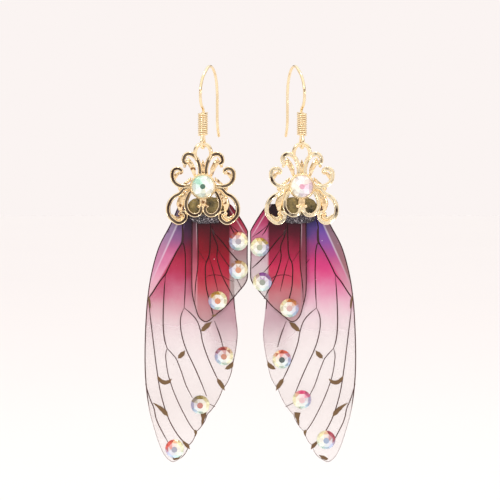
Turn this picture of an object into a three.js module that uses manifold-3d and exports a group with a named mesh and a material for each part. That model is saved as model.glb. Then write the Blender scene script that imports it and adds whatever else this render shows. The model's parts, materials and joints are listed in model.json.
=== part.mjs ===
// A pair of fairy-wing drop earrings: two French ear hooks, each with a gilt scrollwork cap
// hanging from its eye, and under each cap a long forewing and a short hindwing of clear
// resin film set with flat-backed crystals.
//
// Millimetres, +Z up, -Y towards the front. The origin lies on the line of the rail or rim
// that both hook bends hang over, midway between the two earrings.

import * as THREE from "three";
import { mergeVertices } from "three/addons/utils/BufferGeometryUtils.js";
import { ConvexGeometry } from "three/addons/geometries/ConvexGeometry.js";
import Module from "manifold-3d";

const wasm = await Module();
wasm.setup();

// ---- Driving dimensions ----

const PAIR_GAP = 0.4; // clear space between the two drops at their closest
const LAYER_GAP = 0.05; // adhesive film between two layers that are stuck together
const RUNNING_GAP = 0.06; // slack in the link between the hook's eye and the cap

// Ear hook
const WIRE = 0.6; // diameter of the hook wire
const HOOK_REACH = 9; // front strand to tail
const HOOK_BOW = 1.9; // how far the front leg bows forward of the coil
const HOOK_YAW = 18; // degrees that each hook is turned on its rail
const TAIL_LENGTH = 14.3; // rail line down to the end of the tail
const EYE_WIDTH = 1.9; // across the eye, between wire centres
const EYE_LENGTH = 1.9; // coil's lower end down to the middle of the cap's link bar
const STRAND_GAP = 0.02; // between the two strands inside the coil

// Coil
const COIL_WIRE = 0.4;
const COIL_PITCH = 0.44;
const COIL_TURNS = 10.5;
const COIL_TOP = 9.3; // rail line down to the coil's top
const COIL_SLACK = 0.07; // coil to the strands that it binds

// Scrollwork cap
const CAP_WIDTH = 15.4; // over the two lower scrolls
const CAP_HEIGHT = 16.8; // middle of the link bar down to the lowest scroll
const CAP_THICKNESS = 0.9;
const SCROLL_WIDTH = 0.76; // one scroll band, seen from the front
const LINK_BAR = 0.84; // diameter of the round bar that the eye holds
const SEAT_RISE = 0.3; // seat floor above the scrolls
const BEZEL_WALL = 0.28;
const BEZEL_HEIGHT = 0.5;

// Crystals
const CAP_CRYSTAL = 4.6; // diameter
const WING_CRYSTAL = 4;
const CRYSTAL_RISE = 0.4; // height as a share of the diameter
const SETTING_GAP = 0.04; // round and under a set crystal

// Wings
const FILM = 0.4; // thickness of the resin-coated film
const FOREWING_WIDTH = 19.7;
const FOREWING_LENGTH = 54.7;
const HINDWING_WIDTH = 12;
const HINDWING_LENGTH = 25;
const ROOT_LAP = 4.3; // how far the wing roots reach up behind the cap

// Adhesive at the roots
const PAD_WIDTH = 8.4;
const PAD_HEIGHT = 6;
const PAD_THICKNESS = 0.5;
const PAD_SHOWS = 0.05; // how far the pad comes out below the cap's lowest scroll

// Differences between the two hand-made drops: how far each wing is set towards the other
// earring, and where its crystals are, as x and z on the wing that carries them.
const DROPS = {
  left: {
    side: -1,
    forewingShift: 0,
    hindwingShift: 0,
    forewingCrystals: [[4.33, -32.05], [-0.69, -42.4], [-6.11, -51.75]],
    hindwingCrystals: [[7.39, -7.8], [7.39, -13.8], [3.05, -20.3]],
  },
  right: {
    side: 1,
    forewingShift: 0.85,
    hindwingShift: 1.4,
    forewingCrystals: [[3.26, -32.75], [-0.98, -41.3], [-6.1, -49.85]],
    hindwingCrystals: [[7.4, -9.05], [6.83, -16.35], [1.14, -21.85]],
  },
};

// ---- Materials ----

const metal = (color, roughness) =>
  new THREE.MeshStandardMaterial({ color, roughness, metalness: 1 });
const clear = (color, opacity, roughness) =>
  new THREE.MeshStandardMaterial({ color, roughness, metalness: 0, opacity, transparent: true });
const GILT_WIRE = metal(0xe8c68c, 0.18);
const GILT_CAST = metal(0xe3b976, 0.22);
const FOREWING_FILM = clear(0xd98fb4, 0.7, 0.12);
const HINDWING_FILM = clear(0xb8305c, 0.75, 0.12);
const CRYSTAL = new THREE.MeshStandardMaterial({ color: 0xe9e4ea, roughness: 0.08, metalness: 0.6 });
const GLITTER_RESIN = new THREE.MeshStandardMaterial({ color: 0x2b2026, roughness: 0.35 });

// ---- Solids ----

// A closed geometry as a manifold-3d solid.
function solidOf(geometry) {
  const bare = geometry.clone();
  bare.deleteAttribute("normal");
  bare.deleteAttribute("uv");
  const merged = mergeVertices(bare, 1e-4);
  const mesh = new wasm.Mesh({
    numProp: 3,
    vertProperties: merged.attributes.position.array,
    triVerts: new Uint32Array(merged.index.array),
  });
  return new wasm.Manifold(mesh);
}

function geometryOf(solid) {
  const mesh = solid.getMesh();
  return new THREE.BufferGeometry()
    .setAttribute("position", new THREE.BufferAttribute(mesh.vertProperties, 3))
    .setIndex(new THREE.BufferAttribute(mesh.triVerts, 1));
}

const joined = (geometries) => geometryOf(geometries.map(solidOf).reduce((a, b) => a.add(b)));

function polygon(sides, radius) {
  const corner = (i) => {
    const turn = ((i + 0.5) / sides) * 2 * Math.PI;
    return new THREE.Vector2(radius * Math.cos(turn), radius * Math.sin(turn));
  };
  return new THREE.Shape(Array.from({ length: sides }, (_, i) => corner(i)));
}

// A section drawn along a curve. The section's y lies in the plane of a curve in XZ.
const swept = (section, curve, steps) =>
  new THREE.ExtrudeGeometry(section, { steps, extrudePath: curve, bevelEnabled: false });

// An outline in X and Z made a plate whose back is at y = back.
function plate(outline, thickness, back, curveSegments = 6) {
  return new THREE.ExtrudeGeometry(outline, { depth: thickness, bevelEnabled: false, curveSegments })
    .rotateX(Math.PI / 2)
    .translate(0, back, 0);
}

// A disc facing the front, with its back at y = back.
function disc(radius, thickness, back, sides = 24) {
  return new THREE.CylinderGeometry(radius, radius, thickness, sides)
    .translate(0, back - thickness / 2, 0);
}

function mesh(name, geometry, material) {
  const made = new THREE.Mesh(geometry, material);
  made.name = name;
  return made;
}

// ---- Ear hook and coil, in the hook's own plane: +Y towards the tail ----

const strandOffset = WIRE / 2 + STRAND_GAP / 2;
const tail = HOOK_REACH + strandOffset;
const bendTop = tail * 0.48; // how far behind the coil the bend is at its highest
const coilBottom = COIL_TOP + COIL_TURNS * COIL_PITCH + COIL_WIRE / 2;
const linkDepth = coilBottom + EYE_LENGTH; // rail line down to the middle of the link bar
const eyeDrop = LINK_BAR / 2 + RUNNING_GAP + WIRE / 2; // link bar's middle to the eye's lowest wire

function hookLine() {
  const points = [
    [tail + 0.9, -TAIL_LENGTH],
    [tail + 0.1, -TAIL_LENGTH + 2],
    [tail - 0.1, -TAIL_LENGTH * 0.6],
    [tail - 0.1, -5.2],
    [tail * 0.9, -2.2],
    [tail * 0.72, -0.3],
    [bendTop, WIRE / 2],
    [tail * 0.2, -0.75],
    [-HOOK_BOW * 0.35, -2.9],
    [-HOOK_BOW + strandOffset, -5.6],
    [-HOOK_BOW * 0.6, -7.6],
    [strandOffset * 0.9, -COIL_TOP + 0.35],
    [strandOffset, -COIL_TOP - 0.6],
    [strandOffset, -coilBottom + 0.4],
  ];
  const eyeRadius = EYE_WIDTH / 2;
  const eyeMiddle = -linkDepth - eyeDrop + eyeRadius;
  const arcSteps = 6;
  for (let i = 0; i <= arcSteps; i++) {
    const turn = (i / arcSteps) * Math.PI;
    points.push([eyeRadius * Math.cos(turn), eyeMiddle - eyeRadius * Math.sin(turn)]);
  }
  points.push([-strandOffset, -coilBottom + 0.4], [-strandOffset, -COIL_TOP - 0.6]);
  points.push([-strandOffset, -COIL_TOP - 0.05]);
  return new THREE.CatmullRomCurve3(
    points.map(([y, z]) => new THREE.Vector3(0, y, z)), false, "centripetal");
}

const earHook = () => swept(polygon(6, WIRE / 2), hookLine(), 92);

class Helix extends THREE.Curve {
  constructor(radius, pitch, turns, top) {
    super();
    Object.assign(this, { radius, pitch, turns, top });
  }
  getPoint(t, target = new THREE.Vector3()) {
    const turn = t * this.turns * 2 * Math.PI;
    const drop = this.top + t * this.turns * this.pitch;
    return target.set(this.radius * Math.cos(turn), this.radius * Math.sin(turn), -drop);
  }
}

function hookCoil() {
  const radius = strandOffset + WIRE / 2 + COIL_SLACK + COIL_WIRE / 2;
  const line = new Helix(radius, COIL_PITCH, COIL_TURNS, COIL_TOP + COIL_WIRE / 2);
  return swept(polygon(5, COIL_WIRE / 2), line, Math.round(COIL_TURNS * 10));
}

// ---- Drop: everything below the link, measured from the middle of the link bar.
// Drawn as the left drop, with the outer edge at -X and the other earring at +X. ----

// The cap is drawn at this size and stretched to CAP_WIDTH and CAP_HEIGHT.
const DRAWN_CAP_WIDTH = 15.4;
const DRAWN_CAP_HEIGHT = 16.8;
const capX = (x) => (x * CAP_WIDTH) / DRAWN_CAP_WIDTH;
const capZ = (z) => (z * CAP_HEIGHT) / DRAWN_CAP_HEIGHT;
const capPoint = ([x, z]) => new THREE.Vector3(capX(x), 0, capZ(z));
const SEAT_Z = -8.75; // middle of the cap's crystal, as drawn

// Middle lines of the scrolls of the left half, each from its root to its curled end.
const UPPER_SCROLL = [[-0.9, -7.2], [-0.62, -5.7], [-0.78, -4.4], [-1.15, -3.3], [-1.75, -2.5],
  [-2.6, -2.05], [-3.45, -2.15], [-3.98, -2.85], [-4, -3.65], [-3.5, -4.05], [-3.05, -3.7]];
const MIDDLE_SCROLL = [[-1.6, -8.4], [-3.2, -8.75], [-4.3, -8.75], [-5.4, -8.4], [-6.15, -7.55],
  [-6.4, -6.45], [-6.25, -5.6], [-5.6, -5.1], [-4.75, -5.1], [-4.25, -5.65], [-4.5, -6.2]];
const LOWER_SCROLL = [[-1.7, -8.9], [-3.8, -9.25], [-4.9, -10.3], [-6.1, -11], [-6.95, -12.1],
  [-7.3, -13.45], [-7.05, -14.8], [-6.2, -15.85], [-5.1, -16.4], [-4.1, -16], [-3.6, -15.15],
  [-3.8, -14.3], [-4.5, -14.2], [-4.85, -14.65]];
const LOBE_SCROLL = [[-1.7, -9.4], [-2.6, -9.95], [-3.2, -10.95], [-3.55, -12.15], [-3.45, -13.35],
  [-2.85, -14.3], [-1.85, -14.8], [-0.9, -14.55], [-0.32, -13.8], [-0.3, -13], [-0.75, -12.6]];
const LEAF_RIB = [[-3.3, -9.3], [-4.1, -10.4], [-4.85, -11.6], [-5, -13]];
// Small round drops of metal that tie neighbouring scrolls together.
const TIES = [[-3.9, -4.55], [-4.8, -9.4], [-3.6, -13.9], [-1.4, -3.9]];

function scroll(points, steps) {
  const halfDepth = CAP_THICKNESS / 2;
  const halfWidth = SCROLL_WIDTH / 2;
  const section = new THREE.Shape([
    new THREE.Vector2(-halfDepth, -halfWidth), new THREE.Vector2(halfDepth, -halfWidth),
    new THREE.Vector2(halfDepth, halfWidth), new THREE.Vector2(-halfDepth, halfWidth),
  ]);
  const line = new THREE.CatmullRomCurve3(points.map(capPoint), false, "centripetal");
  return swept(section, line, steps);
}

function linkBar() {
  const shoulder = UPPER_SCROLL[4];
  const left = [capPoint(shoulder), new THREE.Vector3(-1.6, 0, -1.2), new THREE.Vector3(-1, 0, -0.3)];
  const right = left.map((p) => p.clone().setX(-p.x)).reverse();
  const line = new THREE.CatmullRomCurve3([...left, new THREE.Vector3(), ...right], false, "centripetal");
  return swept(polygon(8, LINK_BAR / 2), line, 18);
}

// The leaf below the seat, from the bezel down to where the two lobes meet.
function fleur() {
  const leaf = new THREE.Shape();
  leaf.moveTo(capX(-0.9), capZ(-10));
  leaf.quadraticCurveTo(capX(-1.3), capZ(-12.2), 0, capZ(-14));
  leaf.quadraticCurveTo(capX(1.3), capZ(-12.2), capX(0.9), capZ(-10));
  return plate(leaf, CAP_THICKNESS * 0.8, CAP_THICKNESS * 0.4);
}

// The stem above the seat, which closes the V between the two upper scrolls.
function stem() {
  const wedge = new THREE.Shape([
    new THREE.Vector2(0, capZ(-3.5)), new THREE.Vector2(capX(-0.7), capZ(-4.8)),
    new THREE.Vector2(capX(-0.7), capZ(-7)), new THREE.Vector2(capX(0.7), capZ(-7)),
    new THREE.Vector2(capX(0.7), capZ(-4.8)),
  ]);
  return plate(wedge, CAP_THICKNESS * 0.8, CAP_THICKNESS * 0.4);
}

const seatRadius = CAP_CRYSTAL / 2 + SETTING_GAP + BEZEL_WALL;
const seatFloor = -CAP_THICKNESS / 2 - SEAT_RISE;

function filigreeCap() {
  const half = [
    scroll(UPPER_SCROLL, 18), scroll(MIDDLE_SCROLL, 18), scroll(LOWER_SCROLL, 22),
    scroll(LOBE_SCROLL, 20), scroll(LEAF_RIB, 6),
    ...TIES.map(([x, z]) =>
      disc(SCROLL_WIDTH * 0.6, CAP_THICKNESS, CAP_THICKNESS / 2, 8).translate(capX(x), 0, capZ(z))),
  ].map(solidOf).reduce((a, b) => a.add(b));
  const whole = half.add(half.mirror([1, 0, 0]));
  const seatDepth = CAP_THICKNESS / 2 - seatFloor + BEZEL_HEIGHT;
  const place = (g) => solidOf(g.translate(0, 0, capZ(SEAT_Z)));
  const seat = place(disc(seatRadius, seatDepth, CAP_THICKNESS / 2));
  const pocket = place(disc(CAP_CRYSTAL / 2 + SETTING_GAP, BEZEL_HEIGHT * 2, seatFloor));
  return geometryOf([linkBar(), fleur(), stem()].map(solidOf)
    .reduce((a, b) => a.add(b), whole).add(seat).subtract(pocket));
}

// A flat-backed crystal: a round girdle, sixteen upper facets, eight kites and a flat table.
function crystal(diameter, back) {
  const radius = diameter / 2;
  const height = diameter * CRYSTAL_RISE;
  const ring = (count, r, y, turn) => Array.from({ length: count }, (_, i) => {
    const angle = ((i + turn) / count) * 2 * Math.PI;
    return new THREE.Vector3(r * Math.cos(angle), back - y, r * Math.sin(angle));
  });
  return new ConvexGeometry([
    ...ring(16, radius, 0, 0), ...ring(16, radius, height * 0.16, 0),
    ...ring(8, radius * 0.76, height * 0.66, 0.5), ...ring(8, radius * 0.42, height, 0),
  ]);
}

// Layers from the front: cap, adhesive, hindwing, forewing.
const padBack = CAP_THICKNESS / 2 + LAYER_GAP + PAD_THICKNESS;
const hindwingBack = padBack + LAYER_GAP + FILM;
const forewingBack = hindwingBack + 2 * LAYER_GAP + FILM;
const rootTop = -CAP_HEIGHT + ROOT_LAP;

// Each wing is drawn at this size, from its root at z = 0, and stretched to its own size.
const DRAWN_FOREWING = [19.7, 54.7];
const DRAWN_HINDWING = [12, 25];
const onForewing = ([x, z]) => new THREE.Vector2(
  (x * FOREWING_WIDTH) / DRAWN_FOREWING[0], (z * FOREWING_LENGTH) / DRAWN_FOREWING[1]);
const onHindwing = ([x, z]) => new THREE.Vector2(
  (x * HINDWING_WIDTH) / DRAWN_HINDWING[0], (z * HINDWING_LENGTH) / DRAWN_HINDWING[1]);

// Forewing: a long leading edge to a round tip, a trailing edge scalloped between the vein
// ends, and an inner edge back to the root.
const LEADING_EDGE = [[-5.1, 0], [-6.9, -4.2], [-9.35, -8.9], [-10.9, -14.2], [-11.8, -19.6],
  [-12.25, -25.5], [-12.45, -32.4], [-12.25, -38], [-11.55, -43.5], [-10.5, -47.6],
  [-9.3, -51.3], [-8.1, -53.6], [-6.5, -54.7], [-4.9, -54]];
const SCALLOPS = [[-3.1, -51.2], [-1.6, -48.4], [0.9, -44.6], [4.15, -39.2], [6.15, -34.7]];
const INNER_EDGE = [[6.95, -30.5], [7.25, -27.1], [6.9, -23.8], [6.6, -20.6], [6.45, -16.3],
  [6.1, -12], [5.75, -8.2], [5.6, -3.8], [5, 0]];
const SCALLOP_DEPTH = 0.35;

function forewing() {
  const outline = new THREE.Shape();
  const lead = LEADING_EDGE.map(onForewing);
  outline.moveTo(lead[0].x, lead[0].y);
  outline.splineThru(lead.slice(1));
  for (const corner of SCALLOPS.map(onForewing)) {
    const from = outline.currentPoint;
    const along = corner.clone().sub(from);
    const out = new THREE.Vector2(along.y, -along.x).normalize().multiplyScalar(-2 * SCALLOP_DEPTH);
    const middle = from.clone().add(corner).multiplyScalar(0.5).sub(out);
    outline.quadraticCurveTo(middle.x, middle.y, corner.x, corner.y);
  }
  outline.splineThru(INNER_EDGE.map(onForewing));
  return plate(outline, FILM, forewingBack);
}

// Hindwing: a straight folded edge, a round lower end, and a long slanting margin up to a
// blunt shoulder beside the cap.
const FOLDED_EDGE = [[-2.4, 0], [-2.45, -5.5], [-2.5, -11.8], [-2.5, -17.3], [-2.25, -19.8],
  [-1.75, -21.7], [-1.3, -23.3], [-0.55, -24.4], [0.5, -24.9], [1.45, -24.5], [2.3, -23.7],
  [3.75, -22.55], [5, -21.4], [6.5, -19.7], [7.85, -18.1], [8.75, -17], [9.35, -15.7],
  [9.42, -13.7], [9.35, -11.2], [9.4, -7.6], [9.42, -5.7]];
const SHOULDER = [[8.8, -4.5], [7.65, -2.6], [6.25, -0.6], [5.6, 0]];

function hindwing() {
  const outline = new THREE.Shape();
  const fold = FOLDED_EDGE.map(onHindwing);
  outline.moveTo(fold[0].x, fold[0].y);
  outline.splineThru(fold.slice(1));
  outline.splineThru(SHOULDER.map(onHindwing));
  return plate(outline, FILM, hindwingBack);
}

// The dark glitter resin that holds the wing roots to the back of the cap.
function rootPad() {
  const outline = new THREE.Shape();
  outline.absellipse(0, 0, PAD_WIDTH / 2, PAD_HEIGHT / 2, 0, 2 * Math.PI, false, 0);
  return plate(outline, PAD_THICKNESS, padBack, 12)
    .translate(0.75, 0, -CAP_HEIGHT - PAD_SHOWS + PAD_HEIGHT / 2);
}

// One drop, hung with the middle of its link bar at the group's origin.
function drop(name, { side, forewingShift, hindwingShift, forewingCrystals, hindwingCrystals }) {
  const group = new THREE.Group();
  group.add(mesh(`${name}_filigree_cap`, filigreeCap(), GILT_CAST));
  const capStone = crystal(CAP_CRYSTAL, seatFloor - SETTING_GAP).translate(0, 0, capZ(SEAT_Z));
  group.add(mesh(`${name}_cap_crystal`, capStone, CRYSTAL));
  group.add(mesh(`${name}_root_resin`, rootPad(), GLITTER_RESIN));
  const wings = [
    ["forewing", forewing(), forewingShift, forewingCrystals, onForewing, forewingBack, FOREWING_FILM],
    ["hindwing", hindwing(), hindwingShift, hindwingCrystals, onHindwing, hindwingBack, HINDWING_FILM],
  ];
  for (const [wing, film, shift, places, onWing, back, material] of wings) {
    group.add(mesh(`${name}_${wing}`, film.translate(shift, 0, rootTop), material));
    places.map(onWing).forEach((place, i) => {
      const stone = crystal(WING_CRYSTAL, back - FILM - SETTING_GAP)
        .translate(place.x + shift, 0, place.y + rootTop);
      group.add(mesh(`${name}_${wing}_crystal_${i + 1}`, stone, CRYSTAL));
    });
  }
  group.scale.x = -side;
  return group;
}

// How far a drop reaches from its own link towards the other earring.
function innerReach({ hindwingShift, hindwingCrystals }) {
  const film = Math.max(...[...FOLDED_EDGE, ...SHOULDER].map((p) => onHindwing(p).x));
  const stones = hindwingCrystals.map((p) => onHindwing(p).x + WING_CRYSTAL / 2);
  return Math.max(hindwingShift + Math.max(film, ...stones), CAP_WIDTH / 2);
}

const hookYaw = THREE.MathUtils.degToRad(HOOK_YAW);
const pairSpacing = innerReach(DROPS.left) + innerReach(DROPS.right) + PAIR_GAP;

function earring(name, sizes) {
  const group = new THREE.Group();
  const hook = new THREE.Group();
  hook.add(mesh(`${name}_ear_hook`, earHook(), GILT_WIRE));
  hook.add(mesh(`${name}_hook_coil`, hookCoil(), GILT_WIRE));
  hook.rotation.z = sizes.side * hookYaw;
  const hanging = drop(name, sizes);
  hanging.position.z = -linkDepth;
  group.add(hook, hanging);
  group.position.x = (sizes.side * pairSpacing) / 2;
  return group;
}

const pair = new THREE.Group();
pair.add(earring("left", DROPS.left), earring("right", DROPS.right));
pair.position.y = -bendTop * Math.cos(hookYaw);

export default pair;
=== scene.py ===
"""The looks of a pair of fairy-wing drop earrings: gilt ear hooks, scrollwork caps, veined
resin wings and rainbow-coated crystals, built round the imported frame.

Each drop is drawn in millimetres from the middle of its link bar, with x towards the other
earring, y away from the viewer and z up. Each wing is drawn from the outer top corner of
its CAD film. The place matrices turn both into the row frame, in metres.
"""

import json
import math
import random

import bmesh
import bpy
from mathutils import Matrix, Vector, noise


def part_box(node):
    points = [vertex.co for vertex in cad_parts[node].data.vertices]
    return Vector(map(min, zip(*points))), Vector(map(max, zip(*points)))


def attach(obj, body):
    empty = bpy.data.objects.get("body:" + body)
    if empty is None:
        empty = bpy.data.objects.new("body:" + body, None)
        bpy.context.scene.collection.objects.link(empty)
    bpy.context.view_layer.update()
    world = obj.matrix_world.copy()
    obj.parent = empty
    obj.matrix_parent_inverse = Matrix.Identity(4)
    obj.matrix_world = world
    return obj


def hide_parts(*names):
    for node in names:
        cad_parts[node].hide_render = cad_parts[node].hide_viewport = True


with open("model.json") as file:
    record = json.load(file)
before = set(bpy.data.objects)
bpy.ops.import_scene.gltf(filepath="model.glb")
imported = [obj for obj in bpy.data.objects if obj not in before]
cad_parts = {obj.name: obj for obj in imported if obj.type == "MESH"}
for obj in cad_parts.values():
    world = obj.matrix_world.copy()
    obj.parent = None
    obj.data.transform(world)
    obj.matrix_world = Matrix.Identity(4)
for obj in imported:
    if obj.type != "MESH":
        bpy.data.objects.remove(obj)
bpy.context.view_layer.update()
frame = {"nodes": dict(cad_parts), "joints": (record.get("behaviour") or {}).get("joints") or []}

MM = 0.001
INWARD = {"left": 1, "right": -1}  # the sign of the row's x that points to the other earring
LINK = {joint["name"].split("_")[0]: Vector(joint["pos_m"]) for joint in frame["joints"]}

# Ear hook, in millimetres from the rail line, y towards the tail
WIRE = 0.6
HOOK_REACH = 9
HOOK_BOW = 1.9
HOOK_YAW = 18
TAIL_LENGTH = 14.3
EYE_WIDTH = 1.9
STRAND_GAP = 0.02
COIL_WIRE = 0.4
COIL_PITCH = 0.44
COIL_TURNS = 10.5
COIL_TOP = 9.3
COIL_SLACK = 0.07

# Scrollwork cap, in millimetres from the link bar's middle
CAP_THICKNESS = 0.9
BAND = 0.43  # half the width of a scroll band
LINK_BAR = 0.84
EYE_SLACK = 0.06
SEAT_Z = -8.75
CAP_CRYSTAL = 4.6
SETTING_GAP = 0.04
BEZEL_WALL = 0.28
BEZEL_FRONT = -1.25
SEAT_FLOOR = -0.75
BEADS = 30

# Crystals
CRYSTAL_HEIGHT = 0.4  # share of the width
FACET_BEVEL = 0.02
FACET_SCATTER = 0.45  # in steps of the list of colours
BESIDE_TABLE = -0.72  # the y of a facet's normal, below which it lies beside the table
FLAT = 0.97  # the size of that y which only the table and the back pass

# Root resin
RESIN_FULLNESS = 0.66  # the power that swells its ellipse towards its box
RESIN_RAGGED = 0.07
RESIN_EASE = 0.22
FOIL_BELOW_RAIL = 30.6  # where the bronze foil fades out

# Resin films, in millimetres from the outer top corner
FILM = 0.4
FILM_GRID = 0.7
RIM_ANGLE = 1.2  # radians between two faces, past which their edge is a rim
RIM_EASE = 0.09
CREASE_X = 6.9  # a point of the forewing's fold
CREASE_Z = -4.5
CREASE_SLOPE = 0.457  # what the fold gains in x for each millimetre up
FORK_X = 8.0  # where the forewing's root vein bends and forks
FORK_Z = -7.8
OPEN_SIDE_X = 7.9  # where the hindwing's side towards the other wing begins
FOREWING_RAMP = 55  # the length that a wing's ramps run over
HINDWING_RAMP = 25
INK = 0.13  # half the width of a printed vein
INK_PROUD = 0.03  # how far a printed vein stands out of the film
SPOT_PROUD = 0.042
RIM_INSET = 0.13  # from the film's edge to the middle of its rim line
RIM_TOP = -0.7  # above this there is no rim line
INNER_RIM = {"left": 0.62, "right": 0.34}  # strength of the rim line along the inner edge


# ---- Node trees ----


class Signal:
    """An output socket in a material's node tree, on which arithmetic adds Math nodes."""

    def __init__(self, recipe, socket):
        self.recipe = recipe
        self.socket = socket

    def combined(self, operation, first, second):
        return self.recipe.node("ShaderNodeMath", {"operation": operation}, {0: first, 1: second})

    def __add__(self, other):
        return self.combined("ADD", self, other)

    def __radd__(self, other):
        return self.combined("ADD", other, self)

    def __sub__(self, other):
        return self.combined("SUBTRACT", self, other)

    def __rsub__(self, other):
        return self.combined("SUBTRACT", other, self)

    def __mul__(self, other):
        return self.combined("MULTIPLY", self, other)

    def __rmul__(self, other):
        return self.combined("MULTIPLY", other, self)

    def __truediv__(self, other):
        return self.combined("DIVIDE", self, other)

    def size(self):
        return self.combined("ABSOLUTE", self, 0.0)

    def over(self, other):
        return self.combined("GREATER_THAN", self, other)

    def at_most(self, other):
        return self.combined("MINIMUM", self, other)

    def at_least(self, other):
        return self.combined("MAXIMUM", self, other)

    def clamped(self):
        return self.recipe.node("ShaderNodeClamp", {}, {"Value": self})

    def near(self, width):
        """1 where the value is nought, and 0 from that width away."""
        return (1.0 - self.size() / width).clamped()


class Recipe:
    """The node tree of a material or of the world."""

    def __init__(self, owner):
        self.owner = owner
        owner.use_nodes = True
        self.tree = owner.node_tree
        self.tree.nodes.clear()

    def node(self, kind, settings, inputs, output=0):
        made = self.tree.nodes.new(kind)
        for name, value in settings.items():
            if name == "stops":
                set_stops(made.color_ramp, value)
            elif name == "blend":
                made.color_ramp.interpolation = value
            else:
                setattr(made, name, value)
        for name, value in inputs.items():
            if isinstance(value, Signal):
                self.tree.links.new(value.socket, made.inputs[name])
            else:
                made.inputs[name].default_value = value
        return None if output is None else Signal(self, made.outputs[output])

    def ramp(self, value, stops, blend="LINEAR"):
        return self.node("ShaderNodeValToRGB", {"stops": stops, "blend": blend}, {"Fac": value})

    def mixed(self, share, first, second):
        inputs = {0: share, 6: first, 7: second}
        return self.node("ShaderNodeMix", {"data_type": "RGBA"}, inputs, output=2)

    def part(self, value, kind, name):
        """One number of a colour ("Color", "Red") or of a vector ("XYZ", "Z")."""
        socket = "Color" if kind == "Color" else "Vector"
        return self.node(f"ShaderNodeSeparate{kind}", {}, {socket: value}, output=name)

    def place(self):
        return self.node("ShaderNodeTexCoord", {}, {}, output="Object")

    def height(self):
        """Millimetres above the rail."""
        return self.part(self.place(), "XYZ", "Z") / MM

    def noise(self, scale, detail=3.0):
        inputs = {"Vector": self.place(), "Scale": scale, "Detail": detail}
        return self.node("ShaderNodeTexNoise", {}, inputs)

    def bump(self, height, strength, distance):
        inputs = {"Height": height, "Strength": strength, "Distance": distance}
        return self.node("ShaderNodeBump", {}, inputs)

    def uv(self, axis):
        whole = self.node("ShaderNodeUVMap", {"uv_map": "UVMap"}, {})
        return self.part(whole, "XYZ", axis)

    def finished(self, inputs):
        shader = self.node("ShaderNodeBsdfPrincipled", {}, inputs)
        self.node("ShaderNodeOutputMaterial", {}, {"Surface": shader}, output=None)
        return self.owner


def material(name):
    return Recipe(bpy.data.materials.new(name))


def set_stops(ramp, stops):
    while len(ramp.elements) < len(stops):
        ramp.elements.new(1.0)
    for element, (position, color) in zip(ramp.elements, stops):
        element.position = position
        element.color = color


def tint(code):
    """A linear colour from six hexadecimal digits."""
    parts = [int(code[i : i + 2], 16) / 255 for i in (0, 2, 4)]
    linear = [c / 12.92 if c <= 0.04045 else ((c + 0.055) / 1.055) ** 2.4 for c in parts]
    return (*linear, 1.0)


def grey(value):
    return (value, value, value, 1.0)


# ---- Meshes ----


def linked(name, data):
    """A new object in the scene."""
    made = bpy.data.objects.new(name, data)
    bpy.context.scene.collection.objects.link(made)
    return made


def inward_place(side, origin):
    """Millimetres from a point of the row, with x towards the other earring."""
    return Matrix.Translation(origin) @ Matrix.Diagonal((INWARD[side] * MM, MM, MM, 1))


def drop_place(side):
    return inward_place(side, LINK[side])


def hook_place(side):
    rail = Vector((LINK[side].x, LINK[side].y, 0))
    return inward_place(side, rail) @ Matrix.Rotation(math.radians(-HOOK_YAW), 4, "Z")


def box_in(place, node):
    """A CAD node's lowest and highest corners in the millimetres of a place matrix."""
    corners = [place.inverted() @ Vector(corner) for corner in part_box(node)]
    low = Vector([min(c[i] for c in corners) for i in range(3)])
    high = Vector([max(c[i] for c in corners) for i in range(3)])
    return low, high


def section(points):
    """A closed section curve for sweeping."""
    curve = bpy.data.curves.new("section", "CURVE")
    spline = curve.splines.new("POLY")
    spline.points.add(len(points) - 1)
    spline.use_cyclic_u = True
    for point, (x, y) in zip(spline.points, points):
        point.co = (x, y, 0, 1)
    return linked("section", curve)


def round_section(radius, sides=14):
    turns = [2 * math.pi * i / sides for i in range(sides)]
    return section([(radius * math.cos(turn), radius * math.sin(turn)) for turn in turns])


def sweep(bm, outline, strokes, resolution=10, smooth=True, twist="Z_UP"):
    """Adds strokes to bm, each a list of (point, thickness) that the section follows.

    The section's own object is used up.
    """
    curve = bpy.data.curves.new("sweep", "CURVE")
    curve.dimensions = "3D"
    curve.twist_mode = twist
    curve.bevel_mode = "OBJECT"
    curve.bevel_object = outline
    curve.use_fill_caps = True
    curve.resolution_u = resolution
    for stroke in strokes:
        spline = curve.splines.new("BEZIER" if smooth else "POLY")
        points = spline.bezier_points if smooth else spline.points
        points.add(len(stroke) - 1)
        spline.radius_interpolation = "EASE"
        for point, (place, thickness) in zip(points, stroke):
            point.radius = thickness
            if smooth:
                point.co = place
                point.handle_left_type = "AUTO"
                point.handle_right_type = "AUTO"
            else:
                point.co = (*place, 1)
    holder = linked("sweep", curve)
    graph = bpy.context.evaluated_depsgraph_get()
    mesh = bpy.data.meshes.new_from_object(holder.evaluated_get(graph))
    bm.from_mesh(mesh)
    bpy.data.meshes.remove(mesh)
    for helper in (holder, outline):
        bpy.data.objects.remove(helper)
    bmesh.ops.remove_doubles(bm, verts=bm.verts, dist=1e-4)


def laid_flat(stroke, lift=0):
    """A stroke of (x, z, thickness) as sweep takes it, drawn in XY."""
    return [((x, z, lift), thickness) for x, z, thickness in stroke]


def to_front(bm):
    """Turns what is drawn flat in XY to stand in XZ and face the viewer."""
    bmesh.ops.rotate(bm, verts=bm.verts, matrix=Matrix.Rotation(math.pi / 2, 3, "X"))


def thickened(bm, depth):
    """Gives a flat sheet its thickness, along that vector."""
    grown = bmesh.ops.extrude_face_region(bm, geom=bm.faces[:])
    far = [part for part in grown["geom"] if isinstance(part, bmesh.types.BMVert)]
    bmesh.ops.translate(bm, verts=far, vec=depth)


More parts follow.
